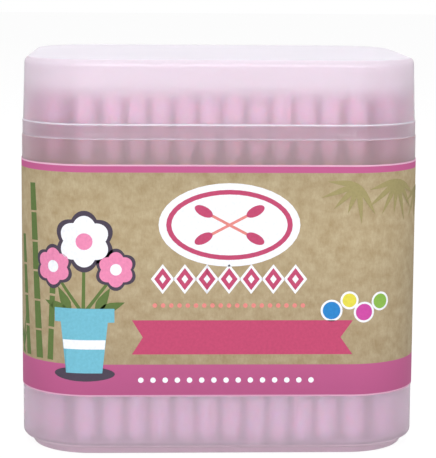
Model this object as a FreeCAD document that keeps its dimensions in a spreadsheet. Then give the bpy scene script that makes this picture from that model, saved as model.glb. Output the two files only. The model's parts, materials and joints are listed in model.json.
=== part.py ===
"""Cotton swab tub: a moulded tub with a lift-off lid, a wrap-round label and its swabs.

Units are millimetres and degrees. +Z is up, the origin is under the middle of the base,
and the front of the tub faces -Y. Every driving size is one cell of the sheet of sizes.
"""

import FreeCAD
import Part
import Sketcher

import math
import os

OUT_FOLDER = "parts"

# Driving sizes: name, value in millimetres or degrees, what it measures.
SIZES = [
    ("tub_width", 86.0, "outside of the tub, along X"),
    ("tub_depth", 67.0, "outside of the tub, along Y"),
    ("tub_corner", 15.5, "outer corner radius of the tub"),
    ("tub_wall", 1.2, "thickness of the tub's wall"),
    ("floor_thickness", 0.9, "thickness of the tub's floor"),
    ("swab_rise", 9.2, "swabs above the ledge that the lid stands on"),
    ("base_bevel", 0.8, "bevel at the foot of the tub's wall"),
    ("foot_inset", 2.4, "outside of the tub to the foot that it stands on"),
    ("foot_height", 1.4, "foot below the tub's floor"),
    ("foot_ring", 1.6, "width of the foot, round the recess inside it"),
    ("foot_recess", 1.0, "depth of the recess inside the foot"),
    ("neck_wall", 0.7, "thickness of the neck that the lid goes over"),
    ("neck_height", 2.6, "neck above the shoulder"),
    ("lug_length", 5.0, "snap lug along X"),
    ("lug_height", 0.7, "snap lug along Z"),
    ("lug_proud", 0.15, "snap lug out of the neck"),
    ("lug_lift", 1.0, "shoulder to the foot of the snap lug"),
    ("lug_offset", 26.5, "middle plane to the middle of each snap lug"),
    ("lid_headroom", 6.6, "swabs to the underside of the lid's top"),
    ("lid_clearance", 0.25, "neck to the lid's collar, each side"),
    ("lid_wall", 0.9, "thickness of the lid's wall above the collar"),
    ("lid_top", 1.0, "thickness of the lid's top"),
    ("top_bevel", 1.5, "bevel round the lid's top, across it"),
    ("top_drop", 0.8, "bevel round the lid's top, down its wall"),
    ("collar_height", 3.2, "thickened band at the lid's foot"),
    ("collar_proud", 0.3, "collar outside the tub's wall, each side"),
    ("collar_step", 0.3, "lid's wall inside the collar's face, each side"),
    ("rim_headroom", 0.3, "top of the neck to the ledge inside the lid"),
    ("label_bottom", 13.1, "base of the tub to the label"),
    ("label_drop", 5.2, "ledge that the lid stands on to the label's top edge"),
    ("label_stock", 0.12, "thickness of the label"),
    ("label_glue", 0.03, "tub's wall to the label"),
    ("label_lap", 9.0, "lap of the label's ends at the back, along X"),
    ("swab_count", 200.0, "swabs in a full tub"),
    ("swab_length", 75.0, "swab from end to end"),
    ("swab_gap", 0.1, "between neighbouring swabs of a row"),
    ("row_pitch", 4.5, "least distance from one row of swabs to the next"),
    ("swab_floor_gap", 0.1, "tub's floor to the lower tips"),
    ("swab_wall_gap", 0.3, "tub's wall to the outer swabs"),
    ("stick_diameter", 2.3, "bamboo stick across its corners"),
    ("stick_cover", 3.0, "cotton beyond each end of the stick"),
    ("tip_diameter", 5.0, "cotton tip across its corners"),
    ("tip_dome", 2.0, "blunt end of a cotton tip"),
    ("tip_body", 12.0, "straight stretch of a cotton tip"),
]

# Swabs repeat so often that their sticks and tips are prisms with few sides.
STICK_SIDES = 4
TIP_SIDES = 5

# Heights that several pieces share, as expressions of the sheet. The tub is built round its swabs.
FLOOR = "(sizes.foot_height + sizes.floor_thickness)"
SWAB_FOOT = f"({FLOOR} + sizes.swab_floor_gap)"
SWAB_TOP = f"({SWAB_FOOT} + sizes.swab_length)"
SHOULDER = f"({SWAB_TOP} - sizes.swab_rise)"
RIM = f"({SHOULDER} + sizes.neck_height)"
CEILING = f"({SWAB_TOP} + sizes.lid_headroom)"
NECK_FACE = "(sizes.neck_wall - sizes.tub_wall)"

Vector = FreeCAD.Vector
Fix = Sketcher.Constraint


class Sizes:
    """The sheet of driving sizes, read back as plain numbers where a count is worked out."""

    def __init__(self, doc):
        self.sheet = doc.addObject("Spreadsheet::Sheet", "sizes")
        for row, (alias, value, words) in enumerate(SIZES, start=1):
            self.sheet.set(f"A{row}", words)
            self.sheet.set(f"B{row}", str(value))
            self.sheet.setAlias(f"B{row}", alias)
        doc.recompute()

    def __getattr__(self, alias):
        return float(self.sheet.get(alias))


def bind(thing, expressions):
    """Binds properties of a thing to expressions of the sheet."""
    for name, expression in expressions.items():
        thing.setExpression(name, str(expression))


def origin_feature(body, role):
    """One of a body's own origin planes or axes, found by its role."""
    return [f for f in body.Origin.OriginFeatures if f.Role == role][0]


def new_sketch(body, name, height):
    """An empty sketch that lies level in a body, at a height."""
    sketch = body.newObject("Sketcher::SketchObject", name)
    sketch.AttachmentSupport = [(origin_feature(body, "XY_Plane"), "")]
    sketch.MapMode = "FlatFace"
    bind(sketch, {"AttachmentOffset.Base.z": height})
    return sketch


def constrain(sketch, name, constraint, expression):
    """Adds a dimension to a sketch and binds it to an expression."""
    index = sketch.addConstraint(constraint)
    sketch.renameConstraint(index, name)
    sketch.setExpression(f"Constraints.{name}", expression)


def rounded_outline(body, name, height, offset):
    """The tub's outline moved outwards by an offset on every side, level at a height.

    Lines 0 to 3 are the front, right, back and left sides, and arcs 4 to 7 follow each side.
    """
    sketch = new_sketch(body, name, height)
    x, y, r = 40.0, 30.0, 10.0
    sides = [
        (Vector(r - x, -y), Vector(x - r, -y)),
        (Vector(x, r - y), Vector(x, y - r)),
        (Vector(x - r, y), Vector(r - x, y)),
        (Vector(-x, y - r), Vector(-x, r - y)),
    ]
    centres = [Vector(x - r, r - y), Vector(x - r, y - r), Vector(r - x, y - r), Vector(r - x, r - y)]
    for start, end in sides:
        sketch.addGeometry(Part.LineSegment(start, end), False)
    for quarter, centre in enumerate(centres):
        turn = math.pi / 2 * (quarter - 1)
        circle = Part.Circle(centre, Vector(0, 0, 1), r)
        sketch.addGeometry(Part.ArcOfCircle(circle, turn, turn + math.pi / 2), False)
    for side in range(4):
        sketch.addConstraint(Fix("Tangent", side, 2, side + 4, 1))
        sketch.addConstraint(Fix("Tangent", side + 4, 2, (side + 1) % 4, 1))
    for arc in (4, 5, 6):
        sketch.addConstraint(Fix("Equal", arc, arc + 1))
    sketch.addConstraint(Fix("Symmetric", 0, 1, 0, 2, -2))
    sketch.addConstraint(Fix("Symmetric", 1, 1, 1, 2, -1))
    sketch.addConstraint(Fix("Horizontal", 2))
    sketch.addConstraint(Fix("Vertical", 3))
    width = Fix("DistanceX", 3, 1, 1, 1, 2 * x)
    depth = Fix("DistanceY", 0, 1, 2, 1, 2 * y)
    constrain(sketch, "width", width, f"sizes.tub_width + 2 * ({offset})")
    constrain(sketch, "depth", depth, f"sizes.tub_depth + 2 * ({offset})")
    constrain(sketch, "corner", Fix("Radius", 4, r), f"sizes.tub_corner + ({offset})")
    return sketch


def pad(body, name, sketch, length):
    """Raises a sketch by a length."""
    feature = body.newObject("PartDesign::Pad", name)
    feature.Profile = sketch
    bind(feature, {"Length": length})
    return feature


def pocket(body, name, sketch, length, upwards=False):
    """Cuts a sketch into the body, downwards from the sketch unless told otherwise."""
    feature = body.newObject("PartDesign::Pocket", name)
    feature.Profile = sketch
    feature.Reversed = upwards
    bind(feature, {"Length": length})
    return feature


def box(body, name, sizes, place):
    """A box in a body, with its sizes and its lowest corner given as expressions."""
    feature = body.newObject("PartDesign::AdditiveBox", name)
    feature.AttachmentSupport = [(origin_feature(body, "XY_Plane"), "")]
    feature.MapMode = "FlatFace"
    bind(feature, dict(zip(("Length", "Width", "Height"), sizes)))
    bind(feature, {f"AttachmentOffset.Base.{axis}": value for axis, value in zip("xyz", place)})
    return feature


def level_edges(shape, height):
    """Names of the edges of a shape that lie level at a height."""
    near = 1e-4
    names = []
    for index, edge in enumerate(shape.Edges, start=1):
        bounds = edge.BoundBox
        if abs(bounds.ZMin - height) < near and abs(bounds.ZMax - height) < near:
            names.append(f"Edge{index}")
    return names


def bevel_rim(body, name, shape_of, height, across, along):
    """Bevels the level edges at a height: so far across the level face, and so far along the wall."""
    feature = body.newObject("PartDesign::Chamfer", name)
    feature.Base = (shape_of, level_edges(shape_of.Shape, height))
    feature.ChamferType = "Two distances"
    bind(feature, {"Size": along, "Size2": across})
    return feature


def make_tub(doc):
    """The tub: upright walls on an inset foot with a recess in it, a thin neck and four snap lugs."""
    body = doc.addObject("PartDesign::Body", "tub")
    outside = rounded_outline(body, "tub_outline", "sizes.foot_height", "0")
    block = pad(body, "tub_block", outside, f"{SHOULDER} - sizes.foot_height")
    doc.recompute()
    bevel_rim(body, "tub_base_bevel", block, block.Shape.BoundBox.ZMin, "sizes.base_bevel", "sizes.base_bevel")
    pad(body, "foot_block", rounded_outline(body, "foot_outline", "0", "-sizes.foot_inset"), "sizes.foot_height")
    pad(body, "neck_block", rounded_outline(body, "neck_outline", SHOULDER, NECK_FACE), "sizes.neck_height")
    hollow = rounded_outline(body, "hollow_outline", RIM, "-sizes.tub_wall")
    pocket(body, "hollow", hollow, f"{RIM} - {FLOOR}")
    recess = rounded_outline(body, "foot_recess_outline", "0", "-(sizes.foot_inset + sizes.foot_ring)")
    pocket(body, "foot_recess_cut", recess, "sizes.foot_recess", upwards=True)
    lug = ("sizes.lug_length", "sizes.neck_wall + sizes.lug_proud", "sizes.lug_height")
    back = "sizes.tub_depth / 2 - sizes.tub_wall"
    front = f"-({back} + sizes.neck_wall + sizes.lug_proud)"
    z = f"{SHOULDER} + sizes.lug_lift"
    for side, sign in (("right", 1), ("left", -1)):
        x = f"{sign} * sizes.lug_offset - sizes.lug_length / 2"
        box(body, f"front_{side}_lug", lug, (x, front, z))
        box(body, f"back_{side}_lug", lug, (x, back, z))
    return body


def make_lid(doc):
    """The lid: a thick collar over the neck, an upright wall, and a flat top with a bevelled edge."""
    body = doc.addObject("PartDesign::Body", "lid")
    wall_face = "sizes.collar_proud - sizes.collar_step"
    collar_top = f"({SHOULDER} + sizes.collar_height)"
    outside = rounded_outline(body, "lid_wall_outline", collar_top, wall_face)
    block = pad(body, "lid_block", outside, f"{CEILING} + sizes.lid_top - {collar_top}")
    doc.recompute()
    bevel_rim(body, "lid_top_bevel", block, block.Shape.BoundBox.ZMax, "sizes.top_bevel", "sizes.top_drop")
    collar = rounded_outline(body, "collar_outline", SHOULDER, "sizes.collar_proud")
    pad(body, "collar_block", collar, "sizes.collar_height")
    bore = rounded_outline(body, "collar_bore_outline", SHOULDER, f"{NECK_FACE} + sizes.lid_clearance")
    pocket(body, "collar_bore", bore, "sizes.neck_height + sizes.rim_headroom", upwards=True)
    inside = rounded_outline(body, "lid_hollow_outline", SHOULDER, f"{wall_face} - sizes.lid_wall")
    hollow = pocket(body, "lid_hollow", inside, f"{CEILING} - {SHOULDER}", upwards=True)
    doc.recompute()
    ceiling = block.Shape.BoundBox.ZMax - float(doc.sizes.get("lid_top"))
    bevel_rim(body, "lid_ceiling_bevel", hollow, ceiling, "sizes.top_bevel", "sizes.top_drop")
    return body


def make_label(doc):
    """The label: a thin sleeve glued round the tub, with its ends lapped at the back."""
    body = doc.addObject("PartDesign::Body", "label")
    low = "sizes.label_bottom"
    height = f"{SHOULDER} - sizes.label_drop - sizes.label_bottom"
    face = rounded_outline(body, "label_outline", low, "sizes.label_glue + sizes.label_stock")
    pad(body, "label_block", face, height)
    wall = rounded_outline(body, "label_bore_outline", low, "sizes.label_glue")
    pocket(body, "label_bore", wall, height, upwards=True)
    lap = ("sizes.label_lap", "2 * sizes.label_stock", height)
    back = "sizes.tub_depth / 2 + sizes.label_glue"
    box(body, "label_lap_strip", lap, ("-sizes.label_lap / 2", back, low))
    return body


def prism(body, name, sides, diameter, length, height):
    """An upright prism with a given number of sides, measured across its corners."""
    feature = body.newObject("PartDesign::AdditivePrism", name)
    feature.AttachmentSupport = [(origin_feature(body, "XY_Plane"), "")]
    feature.MapMode = "FlatFace"
    feature.Polygon = sides
    radius = f"({diameter}) / 2"
    bind(feature, {"Circumradius": radius, "Height": length, "AttachmentOffset.Base.z": height})
    return feature


def polygon_sketch(body, name, sides, diameter, height):
    """A level regular polygon round the Z axis that matches a prism of the same size."""
    sketch = new_sketch(body, name, height)
    radius = 2.0
    turns = [2 * math.pi * side / sides for side in range(sides)]
    corners = [Vector(radius * math.cos(turn), radius * math.sin(turn)) for turn in turns]
    for side in range(sides):
        sketch.addGeometry(Part.LineSegment(corners[side], corners[(side + 1) % sides]), False)
    circle = sketch.addGeometry(Part.Circle(Vector(), Vector(0, 0, 1), radius), True)
    for side in range(sides):
        sketch.addConstraint(Fix("Coincident", side, 2, (side + 1) % sides, 1))
        sketch.addConstraint(Fix("PointOnObject", side, 1, circle))
    for side in range(sides - 1):
        sketch.addConstraint(Fix("Equal", side, side + 1))
    sketch.addConstraint(Fix("Coincident", circle, 3, -1, 1))
    sketch.addConstraint(Fix("PointOnObject", 0, 1, -1))
    constrain(sketch, "radius", Fix("Radius", circle, radius), f"({diameter}) / 2")
    return sketch


def pyramid(body, name, base_height, apex_height):
    """The blunt end of a cotton tip, lofted from its full section to one point."""
    base = polygon_sketch(body, f"{name}_base", TIP_SIDES, "sizes.tip_diameter", base_height)
    apex = new_sketch(body, f"{name}_apex", apex_height)
    apex.addGeometry(Part.Point(Vector()), False)
    apex.addConstraint(Fix("Coincident", 0, 1, -1, 1))
    feature = body.newObject("PartDesign::AdditiveLoft", name)
    feature.Profile = base
    feature.Sections = [apex]
    feature.Ruled = True
    return feature


def repeat_along_row(body, features, count):
    """Repeats features along X, one swab pitch apart."""
    row = body.newObject("PartDesign::LinearPattern", f"{body.Name}_pattern")
    row.Originals = features
    row.Direction = (origin_feature(body, "X_Axis"), [""])
    row.Mode = "Spacing"
    row.Occurrences = count
    bind(row, {"Offset": "sizes.tip_diameter + sizes.swab_gap"})
    body.Tip = row


def place_row(body, first_slot, middle_slot, back_steps, rows):
    """Sets a row of swabs in its place in the tub, from the front wall to the back wall."""
    inset = "sizes.tub_depth / 2 - sizes.tub_wall - sizes.swab_wall_gap - sizes.tip_diameter / 2"
    x = f"({first_slot - middle_slot}) * (sizes.tip_diameter + sizes.swab_gap)"
    y = f"(2 * {back_steps / (rows - 1)} - 1) * ({inset})"
    bind(body, {"Placement.Base.x": x, "Placement.Base.y": y})


def make_sticks(doc, name, count):
    """One row of bamboo sticks, each running from cotton to cotton."""
    body = doc.addObject("PartDesign::Body", name)
    low = f"{SWAB_FOOT} + sizes.stick_cover"
    length = "sizes.swab_length - 2 * sizes.stick_cover"
    stick = prism(body, f"{name}_stick", STICK_SIDES, "sizes.stick_diameter", length, low)
    repeat_along_row(body, [stick], count)
    return body


def make_tips(doc, name, count, upper):
    """One row of cotton tips, each a straight body wound on its stick, with a blunt outer end."""
    body = doc.addObject("PartDesign::Body", name)
    end, inward = (SWAB_TOP, "-") if upper else (SWAB_FOOT, "+")
    outer = f"{end} {inward} sizes.tip_dome"
    low = f"{outer} - sizes.tip_body" if upper else outer
    barrel = prism(body, f"{name}_barrel", TIP_SIDES, "sizes.tip_diameter", "sizes.tip_body", low)
    dome = pyramid(body, f"{name}_dome", outer, end)
    repeat_along_row(body, [barrel, dome], count)
    return body


def row_plan(size):
    """Works out how many rows of swabs stand in the tub, and how many swabs are in each.

    Rows run along X. Each second row is shifted by half a pitch, so that the swabs nest.
    Returns a list of (slots in the row, first slot used, swabs in the row).
    """
    pitch = size.tip_diameter + size.swab_gap
    margin = size.tub_wall + size.swab_wall_gap + size.tip_diameter / 2
    half_width = size.tub_width / 2 - margin
    half_depth = size.tub_depth / 2 - margin
    corner = max(size.tub_corner - margin, 0.0)
    rows = int(2 * half_depth / size.row_pitch) + 1
    left = int(size.swab_count)
    plan = []
    for row in range(rows):
        y = half_depth * (2 * row / (rows - 1) - 1)
        over = max(abs(y) - (half_depth - corner), 0.0)
        reach = half_width - corner + math.sqrt(max(corner**2 - over**2, 0.0))
        slots = int(2 * reach / pitch) + 1
        if slots % 2 != row % 2:
            slots -= 1
        count = min(slots, left)
        left -= count
        plan.append((slots, (slots - count) // 2, count))
    return plan


def make_swabs(doc, size):
    """All rows of swabs, each as a row of sticks, a row of upper and a row of lower tips."""
    bodies = []
    plan = row_plan(size)
    for row, (slots, first, count) in enumerate(plan):
        if count == 0:
            continue
        number = f"row_{row + 1:02d}"
        group = [
            make_sticks(doc, f"sticks_{number}", count),
            make_tips(doc, f"upper_tips_{number}", count, upper=True),
            make_tips(doc, f"lower_tips_{number}", count, upper=False),
        ]
        for body in group:
            place_row(body, first, (slots - 1) / 2, row, len(plan))
        bodies += group
    return bodies


def check(doc, bodies):
    """Stops with a message if an object failed or a sub-part's shape isn't sound."""
    for thing in doc.Objects:
        if "Invalid" in thing.State or "Error" in thing.State:
            raise RuntimeError(f"{thing.Label} failed: {thing.State}")
    for body in bodies:
        if body.Shape.isNull() or not body.Shape.isValid():
            raise RuntimeError(f"{body.Label} has no sound shape")


def main():
    """Builds the document, checks it, and writes one STEP file for each sub-part."""
    doc = FreeCAD.newDocument("cotton_swab_tub")
    size = Sizes(doc)
    bodies = [make_tub(doc), make_lid(doc), make_label(doc)] + make_swabs(doc, size)
    for body in bodies:
        body.Label = body.Name
    doc.recompute()
    check(doc, bodies)
    os.makedirs(OUT_FOLDER, exist_ok=True)
    for body in bodies:
        body.Shape.exportStep(os.path.join(OUT_FOLDER, f"{body.Label}.step"))


main()
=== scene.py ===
"""Looks of a cotton swab tub: a frosted tub and lid, a printed kraft label, and the swabs inside.

Sizes are in millimetres unless a name says otherwise, and meshes are scaled to metres when they
are made. +Z is up and the front of the tub faces -Y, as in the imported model.
"""

from __future__ import annotations

import json
import logging
import math
import random
from collections.abc import Sequence
from dataclasses import dataclass
from enum import Enum

import bmesh
import bpy
from mathutils import Matrix, Vector

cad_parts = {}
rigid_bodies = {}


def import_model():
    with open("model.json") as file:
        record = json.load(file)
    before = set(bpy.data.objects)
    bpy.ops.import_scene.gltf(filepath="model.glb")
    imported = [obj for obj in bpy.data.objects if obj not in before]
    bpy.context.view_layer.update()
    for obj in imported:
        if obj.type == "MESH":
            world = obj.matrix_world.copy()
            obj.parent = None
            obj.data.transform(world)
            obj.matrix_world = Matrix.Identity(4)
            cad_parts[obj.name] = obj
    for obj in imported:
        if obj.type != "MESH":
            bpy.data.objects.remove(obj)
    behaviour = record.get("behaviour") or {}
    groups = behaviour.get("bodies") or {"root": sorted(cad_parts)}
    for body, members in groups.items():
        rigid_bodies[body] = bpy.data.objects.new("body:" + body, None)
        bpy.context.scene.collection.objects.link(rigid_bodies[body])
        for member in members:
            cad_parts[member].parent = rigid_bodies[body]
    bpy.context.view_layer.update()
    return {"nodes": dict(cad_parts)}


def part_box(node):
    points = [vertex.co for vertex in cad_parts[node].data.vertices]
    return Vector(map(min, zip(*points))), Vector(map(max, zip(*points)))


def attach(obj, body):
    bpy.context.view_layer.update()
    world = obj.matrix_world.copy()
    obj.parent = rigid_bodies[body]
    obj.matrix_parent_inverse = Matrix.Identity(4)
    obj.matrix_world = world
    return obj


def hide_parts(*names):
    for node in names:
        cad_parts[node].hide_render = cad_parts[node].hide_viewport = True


MM = 0.001
UV_WIDTH = 300.0  # millimetres along the label in one unit of its UV map
UV_HEIGHT = 100.0  # millimetres up the label in one unit of its UV map
CAP_INSET = -12.0  # edge of the flat caps that close a shell, inside the outline
NOISE_RANGE = (0.3, 0.7)  # where nearly all of a noise's values lie
LOG = logging.getLogger("swab_tub")

Tree = bpy.types.NodeTree
Socket = bpy.types.NodeSocket
Point = tuple[float, float]
Profile = list[Point]


def linear(hex_colour: str) -> tuple[float, float, float, float]:
    """Turns an sRGB hex colour into linear RGBA.

    Args:
        hex_colour: Six hex digits, with or without a leading #.

    Returns:
        The linear red, green and blue, with an alpha of 1.
    """
    digits = hex_colour.lstrip("#")
    channels = [int(digits[i : i + 2], 16) / 255 for i in (0, 2, 4)]
    curve = [c / 12.92 if c <= 0.04045 else ((c + 0.055) / 1.055) ** 2.4 for c in channels]
    return (curve[0], curve[1], curve[2], 1.0)


def add_node(
    tree: Tree, kind: str, settings: dict | None = None, links: dict | None = None
) -> bpy.types.Node:
    """Adds a node to a tree, with its settings and links.

    Args:
        tree: The tree that gets the node.
        kind: The node's type name.
        settings: Values by name or input number. A name that isn't an input is a property.
        links: Sockets, or nodes for their first output, by the name or number of the input
            that they feed.

    Returns:
        The new node.
    """
    node = tree.nodes.new(kind)
    for key, value in (settings or {}).items():
        if isinstance(key, int) or key in node.inputs:
            node.inputs[key].default_value = value
        else:
            setattr(node, key, value)
    for key, source in (links or {}).items():
        socket = source.outputs[0] if isinstance(source, bpy.types.Node) else source
        tree.links.new(socket, node.inputs[key])
    return node


def calculate(tree: Tree, operation: str, *values: float | Socket) -> Socket:
    """Adds a Math node on numbers and sockets, and returns its result."""
    settings = {i: value for i, value in enumerate(values) if isinstance(value, float)}
    links = {i: value for i, value in enumerate(values) if i not in settings}
    return add_node(tree, "ShaderNodeMath", {"operation": operation, **settings}, links).outputs["Value"]


def graded(tree: Tree, value: Socket, source: Point, result: Point, shape: str = "LINEAR") -> Socket:
    """Adds a node that carries a value from one range to another, and returns its result."""
    settings = dict(zip(("From Min", "From Max", "To Min", "To Max"), (*source, *result)))
    return add_node(
        tree, "ShaderNodeMapRange", {"interpolation_type": shape, **settings}, {"Value": value}
    ).outputs["Result"]


def noise(tree: Tree, place: Socket, scale: float, detail: float, roughness: float = 0.5) -> Socket:
    """Adds noise at a place, and returns its strength."""
    settings = {"Scale": scale, "Detail": detail, "Roughness": roughness}
    return add_node(tree, "ShaderNodeTexNoise", settings, {"Vector": place}).outputs["Fac"]


def stretched(tree: Tree, place: Socket, scale: tuple[float, float, float], turn: float = 0.0) -> Socket:
    """Adds a node that scales coordinates and turns them about Z, and returns its result."""
    settings = {"Scale": scale, "Rotation": (0.0, 0.0, turn)}
    return add_node(tree, "ShaderNodeMapping", settings, {"Vector": place}).outputs["Vector"]


def mixed(tree: Tree, share: Socket, low: str, high: str | Socket) -> Socket:
    """Adds a mix from a hex colour to another or to a socket's, and returns its result."""
    settings, links = {"data_type": "RGBA", 6: linear(low)}, {0: share}
    if isinstance(high, str):
        settings[7] = linear(high)
    else:
        links[7] = high
    return add_node(tree, "ShaderNodeMix", settings, links).outputs[2]


def bumped(tree: Tree, height: Socket, strength: float, depth_mm: float) -> Socket:
    """Adds a bump of a depth in millimetres, and returns its normal."""
    settings = {"Strength": strength, "Distance": depth_mm * MM}
    return add_node(tree, "ShaderNodeBump", settings, {"Height": height}).outputs["Normal"]


def object_place(tree: Tree) -> Socket:
    """Adds object coordinates, and returns them."""
    return add_node(tree, "ShaderNodeTexCoord").outputs["Object"]


def blank_material(name: str) -> bpy.types.Material:
    """Makes a material with an empty tree."""
    material = bpy.data.materials.new(name)
    material.use_nodes = True
    material.node_tree.nodes.clear()
    return material


def add_surface(tree: Tree, settings: dict, links: dict) -> None:
    """Adds the main shader with its settings and links, and the material's output."""
    shader = add_node(tree, "ShaderNodeBsdfPrincipled", settings, links)
    add_node(tree, "ShaderNodeOutputMaterial", links={"Surface": shader})


def add_object(name: str, mesh: bpy.types.Mesh) -> bpy.types.Object:
    """Links a mesh to the scene as an object at the origin."""
    piece = bpy.data.objects.new(name, mesh)
    bpy.context.scene.collection.objects.link(piece)
    return piece


def plain_mesh(name: str, form: bmesh.types.BMesh) -> bpy.types.Mesh:
    """Turns an edited form into a mesh, and frees the form."""
    mesh = bpy.data.meshes.new(name)
    form.to_mesh(mesh)
    form.free()
    return mesh


def assign(pieces: Sequence[bpy.types.Object], body: str) -> None:
    """Gives pieces their body."""
    for piece in pieces:
        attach(piece, body)


@dataclass(frozen=True)
class Outline:
    """Plan outline that the tub, the lid and the label share: a rectangle with round corners."""

    width: float = 86.0
    depth: float = 67.0
    corner: float = 15.5
    corner_steps: int = 18

    @property
    def front(self) -> float:
        """Half the straight stretch of the front."""
        return self.width / 2 - self.corner

    @property
    def side(self) -> float:
        """The straight stretch of a side."""
        return self.depth - 2 * self.corner

    @property
    def arc(self) -> float:
        """Length of one corner."""
        return self.corner * math.pi / 2

    @property
    def perimeter(self) -> float:
        """Length of the whole outline."""
        return 4 * self.front + 2 * self.side + 4 * self.arc

    def ring(self, offset: float) -> list[Point]:
        """The outline moved outwards, as points counter-clockwise from above.

        Args:
            offset: How far outwards, negative inwards.

        Returns:
            Points of the closed ring. Every offset gives the same number of points.
        """
        radius = self.corner + offset
        centre_x, centre_y = self.front, self.depth / 2 - self.corner
        points = []
        for quarter, (sign_x, sign_y) in enumerate(((1, -1), (1, 1), (-1, 1), (-1, -1))):
            for step in range(self.corner_steps + 1):
                turn = math.pi / 2 * (quarter - 1 + step / self.corner_steps)
                x = sign_x * centre_x + radius * math.cos(turn)
                y = sign_y * centre_y + radius * math.sin(turn)
                points.append((x, y))
        return points

    def at(self, along: float, offset: float) -> Point:
        """A point of the outline by its distance from the middle of the front.

        Args:
            along: Distance along the outline, positive to the right. It may go past the back.
            offset: How far outside the outline.

        Returns:
            The point in plan.
        """
        half = self.perimeter / 2
        wrapped = (along + half) % self.perimeter - half
        mirror = 1 if wrapped >= 0 else -1
        left = abs(wrapped)
        centre_y = self.depth / 2 - self.corner
        if left <= self.front:
            return (mirror * left, -self.depth / 2 - offset)
        left -= self.front
        if left <= self.arc:
            turn = left / self.corner
            reach = self.corner + offset
            return (mirror * (self.front + reach * math.sin(turn)), -centre_y - reach * math.cos(turn))
        left -= self.arc
        if left <= self.side:
            return (mirror * (self.width / 2 + offset), left - centre_y)
        left -= self.side
        if left <= self.arc:
            turn = left / self.corner
            reach = self.corner + offset
            return (mirror * (self.front + reach * math.cos(turn)), centre_y + reach * math.sin(turn))
        left -= self.arc
        return (mirror * (self.front - left), self.depth / 2 + offset)


OUTLINE = Outline()


def spun(centre: Sequence[float], x: float, y: float, angle: float) -> Point:
    """A point beside a centre, turned about it by an angle in radians."""
    cosine, sine = math.cos(angle), math.sin(angle)
    return (centre[0] + x * cosine - y * sine, centre[1] + x * sine + y * cosine)


def rounded_profile(
    corners: Sequence[tuple[float, float, float]], steps: int = 4, hold: float = 0.25
) -> Profile:
    """Rounds the corners of a profile, and holds each round between close rings.

    Args:
        corners: Offset, height and radius of each corner. The first, the last and those
            of radius 0 stay sharp.
        steps: Segments in each round.
        hold: Length of the short straight piece beside each round.

    Returns:
        Offsets and heights along the rounded profile.
    """
    points: Profile = [corners[0][:2]]
    for before, here, after in zip(corners, corners[1:], corners[2:]):
        if not here[2]:
            points.append(here[:2])
            continue
        middle = Vector(here[:2])
        inward = Vector(before[:2]) - middle
        onward = Vector(after[:2]) - middle
        angle = inward.angle(onward)
        cut = here[2] / math.tan(angle / 2)
        start = middle + inward.normalized() * cut
        end = middle + onward.normalized() * cut
        bisector = (inward.normalized() + onward.normalized()).normalized()
        centre = middle + bisector * (here[2] / math.sin(angle / 2))
        points.append(tuple(start + inward.normalized() * min(hold, 0.3 * inward.length)))
        first = start - centre
        turn = first.angle_signed(end - centre)
        for step in range(steps + 1):
            part = -turn * step / steps
            points.append(spun(centre, first.x, first.y, part))
        points.append(tuple(end + onward.normalized() * min(hold, 0.3 * onward.length)))
    points.append(corners[-1][:2])
    return points


def shell_mesh(name: str, profile: Profile, zones: Sequence[tuple[float, float, int]]) -> bpy.types.Mesh:
    """Sweeps a profile round the outline and closes its two ends with flat caps.

    Args:
        name: The mesh's name.
        profile: Offsets and heights, from the cap under or inside the shell to the other cap,
            in the direction that turns the faces outwards.
        zones: Ranges of height that get another finish, each with the number of the
        material that its faces get. These finishes paint light and shade: highlights and a
        lit top on the lid, shade on the tub's neck, light and shade on its foot. The other
        faces get material 0.

    Returns:
        A closed mesh.
    """
    shell = bmesh.new()
    rings = []
    for offset, height in profile:
        rings.append([shell.verts.new((x * MM, y * MM, height * MM)) for x, y in OUTLINE.ring(offset)])
    count = len(rings[0])
    for low, high in zip(rings, rings[1:]):
        for i in range(count):
            j = (i + 1) % count
            shell.faces.new((low[i], low[j], high[j], high[i]))
    shell.faces.new(list(reversed(rings[0])))
    shell.faces.new(rings[-1])
    for face in shell.faces:
        face.smooth = True
        height = face.calc_center_median().z / MM
        numbers = [number for low, high, number in zones if low <= height <= high]
        face.material_index = numbers[0] if numbers else 0
    return plain_mesh(name, shell)


@dataclass(frozen=True)
class PaintedGlow:
    """A whiter, cloudier stretch of the plastic between two heights: a painted glow, for light shining
    through the lid's top.
    """

    start: float
    end: float
    tint: str
    clearness: float


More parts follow.
